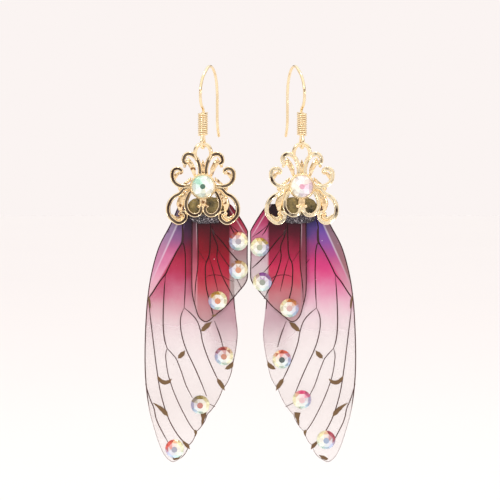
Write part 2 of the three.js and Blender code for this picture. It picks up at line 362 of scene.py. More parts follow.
def joined(bm, other):
    """Adds one bmesh to another."""
    mesh = bpy.data.meshes.new("joined")
    other.to_mesh(mesh)
    other.free()
    bm.from_mesh(mesh)
    bpy.data.meshes.remove(mesh)


def piece(name, bm, place, finish, body, node, sharp=40):
    """Ends a bmesh as a named piece that stands for a CAD node."""
    bm.transform(place)
    bmesh.ops.recalc_face_normals(bm, faces=bm.faces)
    mesh = bpy.data.meshes.new(name)
    bm.to_mesh(mesh)
    bm.free()
    mesh.materials.append(finish)
    mesh.shade_smooth()
    mesh.set_sharp_from_angle(angle=math.radians(sharp))
    made = linked(name, mesh)
    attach(made, body)
    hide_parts(node)


# ---- Gilt metal ----


def gilt_plain(name):
    """Light gold plating with no antiquing."""
    recipe = material(name)
    patches = recipe.noise(420.0, 4.0)
    return recipe.finished({
        "Base Color": recipe.mixed(patches, tint("fff2d4"), tint("f2d39c")),
        "Metallic": 1.0,
        "Roughness": 0.1 + patches * 0.12,
        "Normal": recipe.bump(recipe.noise(900.0, 2.0), 0.25, 0.0001),
    })


def gilt_scroll(name, dark_share, deep):
    """Polished light gold with a painted dark reflection down the channel of each scroll band."""
    recipe = material(name)
    patches = recipe.noise(500.0, 4.0)
    plate = recipe.mixed(patches, tint("fff6de"), tint(deep))
    from_channel = (recipe.uv("Y") - 0.5).size()
    channel = ((1.0 - from_channel * 7.2) * 3.0).clamped()
    reflection_patches = ((recipe.noise(330.0, 2.0) - 0.5) * 9.0).clamped()
    # Painted reflection: the dark line stands for the dark that the polished channel reflects; at a low share
    # it shows only in noise patches.
    dark = channel * (reflection_patches * (1.0 - dark_share) + dark_share)
    return recipe.finished({
        "Base Color": recipe.mixed(dark, plate, tint("34190a")),
        "Metallic": 1.0 - dark * 0.7,
        "Roughness": 0.09 + patches * 0.1 + dark * 0.3,
        "Normal": recipe.bump(recipe.noise(1300.0, 2.0), 0.2, 0.0001),
    })


def gilt_hammered(name, dark_share):
    """Hammered gold with brown antiquing left in its hollows."""
    recipe = material(name)
    hollows = recipe.noise(1300.0, 2.0)
    brown = ((0.49 - hollows) * 6.0).clamped() * dark_share
    plate = recipe.mixed(recipe.noise(900.0, 2.0), tint("fff5d8"), tint("efc27a"))
    return recipe.finished({
        "Base Color": recipe.mixed(brown, plate, tint("7c4a1e")),
        "Metallic": 1.0 - brown * 0.2,
        "Roughness": 0.12 + brown * 0.22,
        "Normal": recipe.bump(hollows, 0.4, 0.00022),
    })


GILT_WIRE = gilt_plain("light_gold_wire")
GILT_PLAIN = gilt_plain("light_gold_setting")
# The left scrolls carry the painted dark reflection nearly all along, the right ones only in patches.
GILT_SCROLL = {"left": gilt_scroll("light_gold_scroll_left", 0.9, "f5d7a2"),
               "right": gilt_scroll("light_gold_scroll_right", 0.12, "fbeac4")}
GILT_LEAF = {"left": gilt_hammered("hammered_gold_left", 1.0),
             "right": gilt_hammered("hammered_gold_right", 0.4)}


# ---- Ear hook and coil ----

STRAND = WIRE / 2 + STRAND_GAP / 2  # from the coil's axis to a strand's middle
TAIL = HOOK_REACH + STRAND
COIL_BOTTOM = COIL_TOP + COIL_TURNS * COIL_PITCH + COIL_WIRE / 2


def hook_line(link_depth):
    """The wire's middle line as (y, z), from the tail over the bend to the coil's top."""
    eye = EYE_WIDTH / 2
    eye_middle = -link_depth - LINK_BAR / 2 - EYE_SLACK - WIRE / 2 + eye
    arc = [i * math.pi / 6 for i in range(7)]
    return [
        (TAIL + 0.9, -TAIL_LENGTH), (TAIL + 0.1, -TAIL_LENGTH + 2), (TAIL - 0.1, -TAIL_LENGTH * 0.6),
        (TAIL - 0.1, -5.2), (TAIL * 0.9, -2.2), (TAIL * 0.72, -0.3), (TAIL * 0.48, WIRE / 2),
        (TAIL * 0.2, -0.75), (-HOOK_BOW * 0.35, -2.9), (-HOOK_BOW + STRAND, -5.6),
        (-HOOK_BOW * 0.6, -7.6), (STRAND * 0.9, -COIL_TOP + 0.35), (STRAND, -COIL_TOP - 0.6),
        (STRAND, -COIL_BOTTOM + 0.4),
        *[(eye * math.cos(turn), eye_middle - eye * math.sin(turn)) for turn in arc],
        (-STRAND, -COIL_BOTTOM + 0.4), (-STRAND, -COIL_TOP - 0.6), (-STRAND, -COIL_TOP - 0.05),
    ]


def ear_hook(side):
    bm = bmesh.new()
    line = hook_line(-LINK[side].z / MM)
    wire = round_section(WIRE / 2)
    sweep(bm, wire, [[((0, y, z), 1) for y, z in line]], twist="MINIMUM")
    tip = bmesh.ops.create_icosphere(bm, subdivisions=3, radius=WIRE / 2)["verts"]
    bmesh.ops.translate(bm, verts=tip, vec=(0, *line[0]))
    piece(f"{side}_hook_wire", bm, hook_place(side), GILT_WIRE, "hooks", f"{side}_ear_hook")


def hook_coil(side):
    bm = bmesh.new()
    radius = STRAND + WIRE / 2 + COIL_SLACK + COIL_WIRE / 2
    steps = 20
    turns = [i / steps for i in range(round(COIL_TURNS * steps) + 1)]
    line = [
        ((radius * math.cos(2 * math.pi * t), radius * math.sin(2 * math.pi * t),
          -COIL_TOP - COIL_WIRE / 2 - COIL_PITCH * t), 1)
        for t in turns
    ]
    sweep(bm, round_section(COIL_WIRE / 2, 10), [line], smooth=False, twist="MINIMUM")
    piece(f"{side}_coil_wire", bm, hook_place(side), GILT_WIRE, "hooks", f"{side}_hook_coil")


# ---- Scrollwork cap ----

# Middle lines of the outer half's scroll bands, each from its root to its curled end.
UPPER_SCROLL = [(-0.9, -7.2), (-0.62, -5.7), (-0.78, -4.4), (-1.15, -3.3), (-1.75, -2.5), (-2.6, -2.05),
                (-3.45, -2.15), (-3.98, -2.85), (-4, -3.65), (-3.5, -4.0), (-3.12, -3.7)]
MIDDLE_SCROLL = [(-1.6, -8.4), (-3.2, -8.75), (-4.3, -8.75), (-5.4, -8.4), (-6.15, -7.55), (-6.4, -6.45),
                 (-6.25, -5.6), (-5.6, -5.1), (-4.85, -5.2), (-4.5, -5.7), (-4.75, -6.1)]
LOWER_SCROLL = [(-1.7, -8.9), (-3.8, -9.25), (-4.9, -10.3), (-6.1, -11), (-6.95, -12.1), (-7.3, -13.45),
                (-7.05, -14.8), (-6.2, -15.85), (-5.1, -16.4), (-4.1, -16), (-3.6, -15.15),
                (-3.85, -14.4), (-4.5, -14.25), (-4.85, -14.65)]
LOBE_SCROLL = [(-1.7, -9.4), (-2.6, -9.95), (-3.2, -10.95), (-3.55, -12.15), (-3.45, -13.35),
               (-2.85, -14.3), (-1.85, -14.8), (-0.9, -14.55), (-0.42, -13.8), (-0.5, -13.1), (-0.95, -12.85)]
# Hammered leaves between the bands, each as (x, z, half width).
LEAVES = [
    [(-2.7, -9.3, 0.12), (-3.5, -10.1, 0.5), (-4.3, -11.2, 0.78), (-4.75, -12.4, 0.8), (-4.75, -13.4, 0.5),
     (-4.5, -14.2, 0.14)],
    [(-1.7, -6.9, 0.12), (-1.85, -6.1, 0.36), (-2.1, -5.1, 0.52), (-2.55, -4.2, 0.56), (-2.95, -3.4, 0.42),
     (-3.1, -2.8, 0.12)],
    [(-5.95, -7.5, 0.1), (-5.75, -6.8, 0.34), (-5.35, -6.2, 0.36), (-4.9, -5.8, 0.12)],
    [(-6.45, -14.6, 0.1), (-5.9, -15.3, 0.34), (-5.1, -15.55, 0.44), (-4.5, -15.1, 0.4), (-4.4, -14.6, 0.14)],
    [(-4.4, -8.5, 0.1), (-3.6, -8.1, 0.3), (-2.9, -7.5, 0.34), (-2.5, -6.9, 0.1)],
]
# Drops of metal at the curled ends and where bands meet, each as (x, z, radius).
DROPS_OF_METAL = [(-3.2, -3.72, 0.44), (-4.7, -5.9, 0.44), (-4.7, -14.5, 0.48), (-0.86, -12.95, 0.42),
                  (-3.85, -4.55, 0.34), (-4.85, -9.3, 0.38), (-3.55, -14.3, 0.36), (-1.35, -7.1, 0.36)]


def band_section():
    """A flat-backed band whose front has two rims and a channel between them."""
    back = -CAP_THICKNESS / 2
    half = [(0.34, back), (BAND, back + 0.09), (BAND, 0.2), (0.4, 0.36), (0.33, 0.44), (0.26, 0.41),
            (0.2, 0.3), (0.11, 0.22)]
    mirrored = [(-x, y) for x, y in reversed(half)]
    return section([(0, back), *half, (0, 0.21), *mirrored])


def leaf_section():
    """A flat-backed section with a domed front, one unit to each side."""
    dome = [(math.cos(turn), 0.5 * math.sin(turn)) for turn in (i * math.pi / 10 for i in range(11))]
    return section([(-0.96, -0.35), (0.96, -0.35), *dome])


def with_other_half(bm):
    """Adds the mirror image across the cap's middle line."""
    other = bm.copy()
    bmesh.ops.scale(other, verts=other.verts, vec=(-1, 1, 1))
    bmesh.ops.reverse_faces(other, faces=other.faces)
    joined(bm, other)


def scroll_bands():
    bm = bmesh.new()
    bands = []
    for line in (UPPER_SCROLL, MIDDLE_SCROLL, LOWER_SCROLL, LOBE_SCROLL):
        last = len(line) - 1
        swell = [0.9 + 0.26 * math.sin(math.pi * i / last) for i in range(last + 1)]
        bands.append([((x, z, 0), thick) for (x, z), thick in zip(line, swell)])
    sweep(bm, band_section(), bands, resolution=12)
    with_other_half(bm)
    to_front(bm)
    return bm


def hammered_ornament():
    """The leaves and drops of metal between the bands, the stem and the fleur below the seat."""
    bm = bmesh.new()
    sweep(bm, leaf_section(), [laid_flat(leaf, -0.02) for leaf in LEAVES])
    for x, z, radius in DROPS_OF_METAL:
        ball = bmesh.ops.create_uvsphere(bm, u_segments=20, v_segments=12, radius=radius)["verts"]
        bmesh.ops.scale(bm, verts=ball, vec=(1, 1, 0.85))
        bmesh.ops.translate(bm, verts=ball, vec=(x, z, 0.08))
    with_other_half(bm)
    stem = [(0, -3.2, 0.08), (0, -4.0, 0.3), (0, -4.9, 0.4), (0, -5.7, 0.34), (0, -6.9, 0.62)]
    fleur = [(0, -10.6, 0.5), (0, -11.4, 0.72), (0, -12.3, 0.78), (0, -13.1, 0.5), (0, -14.0, 0.1)]
    sweep(bm, leaf_section(), [laid_flat(stem), laid_flat(fleur)])
    to_front(bm)
    return bm


def link_bar():
    bm = bmesh.new()
    half = [(-1.12, -3.6, 0.5), (-1.45, -2.9, 0.78), (-1.66, -2.1, 0.94), (-1.58, -1.2, 1), (-1, -0.3, 1)]
    arch = [*half, (0, 0, 1), *[(-x, z, thick) for x, z, thick in reversed(half)]]
    sweep(bm, round_section(LINK_BAR / 2, 20), [laid_flat(arch)])
    to_front(bm)
    return bm


def without_channel(bm):
    """Sets the map to the back of a band, where there is no painted dark reflection."""
    layer = bm.loops.layers.uv.get("UVMap") or bm.loops.layers.uv.new("UVMap")
    for face in bm.faces:
        for loop in face.loops:
            loop[layer].uv = (0, 0)


def bezel():
    """The seat and its bezel, turned round the crystal's axis, with a beaded foot."""
    inner = CAP_CRYSTAL / 2 + SETTING_GAP
    outer = inner + BEZEL_WALL
    back = CAP_THICKNESS / 2
    profile = [(0, back), (outer - 0.08, back), (outer, back - 0.08), (outer, -0.5), (outer + 0.1, -0.58),
               (outer + 0.1, -0.7), (outer, -0.78), (outer - 0.02, BEZEL_FRONT + 0.1),
               (outer - 0.1, BEZEL_FRONT), (inner + 0.05, BEZEL_FRONT + 0.02), (inner, BEZEL_FRONT + 0.1),
               (inner, SEAT_FLOOR), (0, SEAT_FLOOR)]
    bm = bmesh.new()
    verts = [bm.verts.new((r, y, 0)) for r, y in profile]
    edges = [bm.edges.new(pair) for pair in zip(verts, verts[1:])]
    bmesh.ops.spin(bm, geom=verts + edges, cent=(0, 0, 0), axis=(0, 1, 0), angle=2 * math.pi,
                   steps=64, use_merge=True)
    bmesh.ops.remove_doubles(bm, verts=bm.verts, dist=1e-4)
    for i in range(BEADS):
        turn = 2 * math.pi * i / BEADS
        bead = bmesh.ops.create_icosphere(bm, subdivisions=2, radius=0.15)["verts"]
        spot = ((outer + 0.06) * math.cos(turn), -0.52, (outer + 0.06) * math.sin(turn))
        bmesh.ops.translate(bm, verts=bead, vec=spot)
    bmesh.ops.translate(bm, verts=bm.verts, vec=(0, 0, SEAT_Z))
    return bm


def filigree_cap(side):
    setting = bezel()
    joined(setting, link_bar())
    without_channel(setting)
    parts = [("scrolls", scroll_bands(), GILT_SCROLL[side]),
             ("leaves", hammered_ornament(), GILT_LEAF[side]),
             ("setting", setting, GILT_PLAIN)]
    for name, bm, finish in parts:
        piece(f"{side}_cap_{name}", bm, drop_place(side), finish, f"{side}_drop", f"{side}_filigree_cap",
              sharp=50)


# ---- Crystals ----


def faceted(diameter, table):
    """A crystal on its flat back, facing the viewer, whose table is that share of its width."""
    radius = diameter / 2
    height = diameter * CRYSTAL_HEIGHT
    middle = (table + 1) / 2 + 0.04
    rings = [(16, 1.0, 0, 0), (16, 1.0, 0.16, 0), (8, middle, 0.66, 0.5), (8, table, 1.0, 0)]
    bm = bmesh.new()
    for count, share, rise, turn in rings:
        ring = bmesh.ops.create_circle(bm, segments=count, radius=radius * share)["verts"]
        angle = math.pi / 2 + turn * 2 * math.pi / count
        bmesh.ops.rotate(bm, verts=ring, matrix=Matrix.Rotation(angle, 3, "Z"))
        bmesh.ops.translate(bm, verts=ring, vec=(0, 0, height * rise))
    bmesh.ops.convex_hull(bm, input=bm.verts)
    bmesh.ops.dissolve_limit(bm, angle_limit=math.radians(1), verts=bm.verts, edges=bm.edges)
    bmesh.ops.bevel(bm, geom=bm.edges[:], offset=FACET_BEVEL, affect="EDGES", segments=1, profile=0.5,
                    material=-1)
    to_front(bm)
    return bm


# The rainbow coating's colours round a stone after its crown's, clockwise from the upper
# inner side.
COATING = ["f0e4b0", "faf7cc", "ecfae0", "ccf6ea", "b8d2f6", "b2a8c6"]
# The colour of the painted highlight on the facets beside the table.
FACET_HIGHLIGHT = "f2efee"
# Each wing stone's crown colour and table colour, from the hindwing's top to the forewing's tip.
WING_STONES = {
    "left": [("b03a0c", "a39aa4"), ("a06410", "d08c68"), ("b08414", "cc7e58"), ("a01c14", "bc7a60"),
             ("7a6410", "b46a5e"), ("d8360e", "9a9cae")],
    "right": [("b8980a", "a6aa90"), ("7a1a84", "8f968a"), ("bc6a14", "cfa6a2"), ("cc3c08", "2f4442"),
              ("cc1e62", "dcb8bc"), ("a81638", "94a6c2")],
}
FOILED_BACK = "b4b0ae"
# Each cap stone's colours all round and of its table.
CAP_STONES = {
    "left": (["e2f3e4", "f0f8ea", "f8fbf4", "f0f2d8", "def4e6", "f0f8f2", "cdeedc", "a2dcc2"], "145c42"),
    "right": (["f4e2e4", "f8f6f0", "f6eed8", "eef2ec", "f4ecf6", "f2dcea", "ecc8d6", "f4e6da"], "e0a0b6"),
}


def color_facets(bm, colors, table, seed, highlight_share):
    """Colours each facet by the way that it leans, with a seeded scatter and a painted lighter or darker
    shade for the light that each facet catches.

    The facets beside the table are paled towards white by that share, or by half of it at the crown, as a
    painted highlight.
    """
    rng = random.Random(seed)
    layer = bm.loops.layers.float_color.new("facet")
    count = len(colors)
    turned = rng.uniform(-0.5, 0.5)
    for face in bm.faces:
        lean = math.atan2(face.normal.x, face.normal.z) / (2 * math.pi) * count
        spot = (lean + turned + rng.uniform(-FACET_SCATTER, FACET_SCATTER)) % count
        share = spot - int(spot)
        first = tint(colors[int(spot) % count])
        second = tint(colors[(int(spot) + 1) % count])
        # Painted light: each facet is made a random shade lighter or darker, for the light that it catches.
        light = rng.choice([0.72, 0.9, 1.0, 1.1, 1.2])
        color = [min(1, light * (a * (1 - share) + b * share)) for a, b in zip(first[:3], second[:3])]
        if face.normal.y < BESIDE_TABLE:
            white = highlight_share * (0.5 if int(spot) == count - 1 else 1)
            color = [c * (1 - white) + w * white for c, w in zip(color, tint(FACET_HIGHLIGHT))]
        if face.normal.y < -FLAT:
            color = tint(table)[:3]
        if face.normal.y > FLAT:
            color = tint(FOILED_BACK)[:3]
        for loop in face.loops:
            loop[layer] = (*color, 1)


def crystal_finish(name, foil):
    recipe = material(name)
    color = recipe.node("ShaderNodeVertexColor", {"layer_name": "facet"}, {}, output="Color")
    cloud = recipe.noise(1400.0, 2.0)
    shade = recipe.mixed(cloud * 0.12, color, tint("fffdf6"))
    return recipe.finished({
        "Base Color": shade,
        "Metallic": foil,
        "Roughness": 0.05 + cloud * 0.05,
        "Specular IOR Level": 0.4,
        "Coat Weight": 0.6,
        "Coat Roughness": 0.02,
        # Painted light: a faint glow in each facet's own colour, as though the crystal gave light.
        "Emission Color": shade,
        "Emission Strength": 0.05,
    })


# Each kind of stone's finish, its table's share of its width and the share of painted highlight on the facets
# beside it.
STONES = {"wing_crystal": (crystal_finish("rainbow_crystal", 0.25), 0.34, 0.62),
          "cap_crystal": (crystal_finish("opal_crystal", 0.1), 0.26, 0)}


def crystal(side, node, colors, table, slot, seed):
    finish, share, highlight_share = STONES[slot]
    place = drop_place(side)
    low, high = box_in(place, node)
    bm = faceted(high.x - low.x, share)
    color_facets(bm, colors, table, seed, highlight_share)
    middle = (low + high) / 2
    bmesh.ops.translate(bm, verts=bm.verts, vec=(middle.x, high.y, middle.z))
    piece(f"{node}_stone", bm, place, finish, f"{side}_drop", node, sharp=1)


# ---- Root resin ----


def glitter():
    """Charcoal resin full of silver flakes, with a bronze foil in its upper part."""
    recipe = material("dark_glitter_resin")
    lit = 0.0
    for scale in (6500.0, 11000.0):
        cells = {"Vector": recipe.place(), "Scale": scale}
        flake = recipe.node("ShaderNodeTexVoronoi", {}, cells, output="Color")
        lit = lit + ((recipe.part(flake, "Color", "Red") - 0.9) * 9.0).clamped()
    lit = lit.clamped()
    foil = ((recipe.height() + FOIL_BELOW_RAIL + recipe.noise(900.0) * 0.8) * 1.6).clamped()
    cloud = ((recipe.noise(600.0) - 0.3) * 2.5).clamped()
    bronze = recipe.mixed(cloud, tint("2e2810"), tint("a8945a"))
    body = recipe.mixed(foil, recipe.mixed(cloud, tint("17101a"), tint("3a2f38")), bronze)
    return recipe.finished({
        "Base Color": recipe.mixed(lit * (1.0 - foil * 0.7), body, tint("d8d2d8")),
        "Metallic": (lit * 0.6 + foil * 0.4).clamped(),
        "Roughness": 0.45 - lit * 0.25,
        "Specular IOR Level": 0.3,
        "Coat Weight": 0.3,
        "Normal": recipe.bump(lit, 0.5, 0.0001),
    })


GLITTER = glitter()


def root_resin(side):
    place = drop_place(side)
    node = f"{side}_root_resin"
    low, high = box_in(place, node)
    middle = (low + high) / 2
    bm = bmesh.new()
    rim = bmesh.ops.create_circle(bm, segments=72, radius=1, cap_ends=True)["verts"]
    for vert in rim:
        vert.co.xy = [math.copysign(abs(part) ** RESIN_FULLNESS, part) for part in vert.co.xy]
    bmesh.ops.scale(bm, verts=rim, vec=((high.x - low.x) / 2, (high.z - low.z) / 2, 1))
    for vert in rim:
        ragged = 1 - RESIN_RAGGED * (1 + noise.noise(vert.co * 1.1 + Vector((0, 0, 7 * INWARD[side]))))
        vert.co.xy = vert.co.xy * ragged
    thickened(bm, (0, 0, high.y - low.y))
    front = max(bm.faces, key=lambda face: face.calc_center_median().z)
    bmesh.ops.bevel(bm, geom=front.edges[:], offset=RESIN_EASE, affect="EDGES", segments=4, profile=0.5,
                    material=-1)
    to_front(bm)
    bmesh.ops.translate(bm, verts=bm.verts, vec=(middle.x, high.y, middle.z))
    piece(f"{side}_root_glue", bm, place, GLITTER, f"{side}_drop", node)


# ---- Wings ----


def smooth_step(low, high, value):
    share = min(1, max(0, (value - low) / (high - low)))
    return share * share * (3 - 2 * share)


def from_crease(x, z):
    """How far inwards of the forewing's fold a place is, for numbers or for signals."""
    return x - CREASE_X - (z - CREASE_Z) * CREASE_SLOPE


def forewing_relief(x, z):
    """How far the forewing's film lies behind flat."""
    fold = 0.16 * max(0, 1 - abs(from_crease(x, z)) / 0.9) * smooth_step(-19, -13, z)
    wave = 0.05 * (1 + math.sin(0.75 * x + 0.11 * z)) * smooth_step(0, -8, z)
    return fold + wave


def hindwing_relief(x, z):
    """How far the hindwing's film lies behind flat, which is in front where it is negative."""
    fold_line = 1.3 - 0.02 * max(0, -z - 12)
    strip = -0.3 * max(0, 1 - x / fold_line)
    wave = -0.05 * (1 + math.sin(1.1 * x + 0.2 * z))
    return (strip + wave) * smooth_step(-4, -8, z)


# Printed veins, each as (half width in INK, points from the outer top corner).
FOREWING_VEINS = [
    (1.2, [(8.6, -3.2), (8.2, -4.2), (FORK_X, FORK_Z), (6.7, -10.3), (5.0, -13.7), (4.6, -14.6),
           (3.3, -16.3), (1.6, -18.9), (0.8, -20.0)]),
    (1.0, [(4.5, -14.9), (4.2, -18.5), (4.0, -22.8), (4.0, -26.0), (4.3, -28.8), (4.8, -30.5)]),
    (0.8, [(4.8, -30.5), (4.5, -31.7), (4.6, -33.5), (5.0, -36.0), (5.5, -37.8), (6.7, -41.0), (8.3, -44.4),
           (9.9, -47.2), (10.8, -48.3)]),
    (0.8, [(4.8, -30.5), (5.8, -31.6), (6.7, -32.7), (7.2, -33.9), (7.7, -35.2), (8.8, -38.4),
           (10.1, -41.0)]),
    (1.0, [(FORK_X, FORK_Z), (8.4, -8.8), (8.7, -13.1), (8.6, -18.5), (8.4, -21.9)]),
    (0.9, [(8.4, -21.9), (7.8, -23.4), (7.6, -24.9), (8.0, -28.1), (8.9, -30.9), (10.3, -33.9), (11.7, -37.1),
           (13.1, -40.6)]),
    (0.9, [(8.4, -21.9), (9.7, -23.0), (11.0, -24.5), (11.8, -26.6), (12.3, -29.2), (13.4, -32.5),
           (14.8, -35.7), (15.6, -37.3)]),
    (1.0, [(14.8, -24.7), (15.9, -27.7), (16.6, -30.2)]),
    (0.9, [(1.0, -21.3), (1.4, -24.9), (1.9, -29.2), (2.7, -35.6), (3.3, -39.4), (4.1, -42.6), (4.9, -45.0),
           (6.3, -47.8), (7.9, -50.0), (9.3, -51.2)]),
    (0.9, [(0.2, -38.0), (1.3, -41.6), (1.9, -43.0), (2.5, -45.6), (3.7, -48.2), (4.9, -50.4)]),
    (1.0, [(9.9, -11.6), (11.2, -13.5), (12.7, -16.7), (13.2, -18.2)]),
    (0.8, [(12.9, -41.9), (14.9, -42.9)]),
]
HINDWING_VEINS = [
    (1.0, [(1.3, 0.0), (1.3, -3.6), (1.4, -12.6), (0.9, -17.1), (0.75, -20.6)]),
    (0.9, [(1.4, -9.6), (3.0, -12.1)]),
    (1.1, [(4.2, -2.4), (4.1, -4.1), (4.0, -7.3), (3.7, -11.0), (3.1, -12.5), (3.0, -15.3), (3.2, -17.8),
           (3.9, -20.6), (4.4, -22.6), (4.6, -23.6)]),
    (0.9, [(3.7, -11.0), (4.5, -13.7), (5.1, -16.2), (5.6, -18.4)]),
    (1.0, [(4.4, -4.5), (4.6, -6.4), (5.5, -9.0), (5.4, -11.1), (5.8, -13.0), (6.6, -15.3), (7.8, -17.7),
           (9.0, -20.0)]),
    (0.9, [(5.5, -9.4), (6.8, -11.5), (8.2, -13.4), (9.1, -14.4)]),
    (1.1, [(4.8, -6.1), (6.6, -8.1), (8.1, -10.0), (9.7, -11.8), (11.5, -13.5)]),
    (1.0, [(9.4, -15.4), (10.6, -17.9)]),
    (1.0, [(7.6, -3.0), (8.7, -5.6), (9.4, -6.6)]),
    (0.9, [(7.8, -4.1), (9.9, -5.9), (11.5, -7.0)]),
    (0.8, [(3.1, -15.4), (3.9, -15.0), (6.6, -15.2), (7.6, -15.8), (8.8, -16.3)]),
]
# Brown spots between the veins, each as (x, z, half width) along its middle.
FOREWING_SPOTS = [
    [(0.75, -19.2, 0.08), (1.05, -20.3, 0.28), (1.15, -21.2, 0.26), (1.3, -22.3, 0.06)],
    [(8.1, -4.4, 0.08), (8.15, -6.0, 0.26), (8.1, -7.6, 0.3), (7.9, -8.8, 0.06)],
    [(2.7, -36.2, 0.08), (3.2, -37.1, 0.38), (4.1, -37.7, 0.47), (5.0, -37.6, 0.4), (5.7, -37.0, 0.12)],
    [(1.8, -42.1, 0.08), (2.6, -42.6, 0.24), (3.5, -43.3, 0.45), (4.3, -44.1, 0.52), (5.0, -45.0, 0.1)],
    [(7.1, -32.6, 0.1), (7.5, -32.2, 0.48), (8.0, -31.7, 0.5), (8.6, -30.9, 0.06)],
    [(11.9, -26.9, 0.08), (12.5, -26.4, 0.5), (13.2, -25.7, 0.58), (14.3, -24.8, 0.06)],
    [(17.0, -34.9, 0.08), (17.6, -34.6, 0.42), (18.2, -34.2, 0.5), (18.75, -33.2, 0.1)],
    [(15.3, -36.8, 0.08), (15.8, -37.6, 0.46), (16.4, -38.5, 0.46), (16.9, -39.4, 0.1)],
    [(12.4, -44.1, 0.7), (12.45, -44.7, 0.58), (12.3, -45.7, 0.3), (12.0, -47.1, 0.05)],
    [(10.4, -47.8, 0.08), (10.75, -48.2, 0.34), (10.75, -49.2, 0.06)],
    [(7.9, -50.0, 0.08), (8.4, -50.6, 0.3), (9.0, -51.2, 0.42), (9.5, -51.9, 0.1)],
    [(5.9, -54.0, 0.1), (6.3, -53.95, 0.34), (6.9, -53.7, 0.4), (7.8, -53.2, 0.08)],
]
HINDWING_SPOTS = [
    [(4.2, -5.0, 0.06), (4.6, -5.8, 0.3), (4.9, -6.9, 0.06)],
    [(4.2, -23.4, 0.08), (4.7, -23.5, 0.26), (5.5, -23.1, 0.06)],
]


def film_front(side, node):
    """The CAD film's front outline as one face, and the matrix of its outer top corner."""
    low, high = box_in(drop_place(side), node)
    corner = drop_place(side) @ Matrix.Translation((low.x, high.y - FILM / 2, high.z))
    bm = bmesh.new()
    bm.from_mesh(frame["nodes"][node].data)
    bm.transform(corner.inverted())
    bmesh.ops.remove_doubles(bm, verts=bm.verts, dist=0.002)
    for layer in list(bm.loops.layers.uv):
        bm.loops.layers.uv.remove(layer)
    rest = [face for face in bm.faces if face.calc_center_median().y > -FILM / 2 + 0.01]
    bmesh.ops.delete(bm, geom=rest, context="FACES")
    bmesh.ops.dissolve_faces(bm, faces=bm.faces[:])
    return bm, corner, high - low


def cut_grid(bm, size, step):
    """Cuts a flat sheet in XZ into a grid of small faces."""
    for axis, length, sign in ((0, size.x, 1), (2, size.z, -1)):
        for i in range(1, int(length / step) + 1):
            plane = Vector((0, 0, 0))
            plane[axis] = sign * step * i
            normal = Vector((0, 0, 0))
            normal[axis] = 1
            geom = bm.verts[:] + bm.edges[:] + bm.faces[:]
            bmesh.ops.bisect_plane(bm, geom=geom, dist=1e-3, plane_co=plane, plane_no=normal)


def film_body(bm, size, relief):
    """Gives the front sheet its relief, its thickness, eased rims and the wing's own map."""
    cut_grid(bm, size, FILM_GRID)
    thickened(bm, (0, FILM, 0))
    bmesh.ops.recalc_face_normals(bm, faces=bm.faces)
    rims = [edge for edge in bm.edges if edge.calc_face_angle(0) > RIM_ANGLE]
    bmesh.ops.bevel(bm, geom=rims, offset=RIM_EASE, affect="EDGES", segments=2, profile=0.5, material=-1)
    layer = bm.loops.layers.uv.new("UVMap")
    for vert in bm.verts:
        vert.co.y += relief(vert.co.x, vert.co.z)
    for face in bm.faces:
        for loop in face.loops:
            loop[layer].uv = (loop.vert.co.x / size.x, -loop.vert.co.z / size.z)


def inset_side(outline):
    """1 where the outline's left hand is inside, and -1 where its right hand is."""
    area = sum(a.x * b.z - b.x * a.z for a, b in zip(outline, outline[1:] + outline[:1]))
    return 1 if area > 0 else -1


def rim_line(side, outline, wing):
    """The dark line just inside the wing's edge, as points with their half width."""
    hand = inset_side(outline)
    line = []
    for i, spot in enumerate(outline):
        along = (outline[(i + 1) % len(outline)] - outline[i - 1]).normalized()
        inward = Vector((-along.z, 0, along.x)) * hand
        placed = spot + inward * RIM_INSET
        line.append((placed.x, placed.z, 0.95 * INK * rim_strength(side, wing, spot, -inward)))
    below = [point for point in line if point[1] < RIM_TOP]
    gaps = [math.dist(a[:2], b[:2]) for a, b in zip(below[-1:] + below, below)]
    start = gaps.index(max(gaps))
    return below[start:] + below[:start]


def rim_strength(side, wing, spot, outward):
    """The rim line's share of its full width: faint at the clear outer tip and the cut edge."""
    if wing == "hindwing":
        return 1.0
    strength = 1.0
    if outward.x < 0 or spot.z < -54:
        strength -= 0.7 * smooth_step(-40, -45, spot.z)
    elif spot.z < -22:
        strength = INNER_RIM[side]
    return strength


def printed(name, strokes, proud, finish, corner, relief, side, wing):
    """Strokes of (x, z, half width), through the film from face to face, as one piece."""
    bm = bmesh.new()
    sweep(bm, round_section(1, 10), [laid_flat(stroke) for stroke in strokes], resolution=8)
    to_front(bm)
    half_depth = FILM / 2 + proud
    # Each stroke is made deeper and cut off flat just outside both faces.
    for vert in bm.verts:
        depth = max(-half_depth, min(half_depth, vert.co.y * 3))
        vert.co.y = depth + relief(vert.co.x, vert.co.z)
    piece(f"{side}_{wing}_{name}", bm, corner, finish, f"{side}_drop", f"{side}_{wing}")


def vein_strokes(lines):
    strokes = []
    for width, line in lines:
        last = len(line) - 1
        ends = [0.7 if i in (0, last) else 1 for i in range(last + 1)]
        strokes.append([(x, z, INK * width * end) for (x, z), end in zip(line, ends)])
    return strokes


def ink():
    """Printed vein, nearly black at the root and brown towards the tip."""
    recipe = material("vein_ink")
    mottled = recipe.noise(700.0)
    down = (recipe.height() + 29.0) / -54.0
    shade = recipe.ramp(down, [(0.0, tint("1a060b")), (0.2, tint("2a0c14")), (0.4, tint("42262a")),
                               (1.0, tint("5a423c"))])
    return recipe.finished({
        "Base Color": recipe.mixed(mottled * 0.16, shade, tint("6b4a3e")),
        "Roughness": 0.35 + mottled * 0.2,
        "Specular IOR Level": 0.1,
    })


def spot_ink():
    recipe = material("spot_ink")
    mottled = recipe.noise(420.0)
    down = (recipe.height() + 38.0) / -14.0
    brown = recipe.mixed(mottled, tint("6d4a33"), tint("7d6845"))
    return recipe.finished({
        "Base Color": recipe.mixed(down.clamped(), tint("3a1a20"), brown),
        "Roughness": 0.35 + mottled * 0.2,
        "Specular IOR Level": 0.3,
    })


INK_FINISH = ink()
SPOT_FINISH = spot_ink()


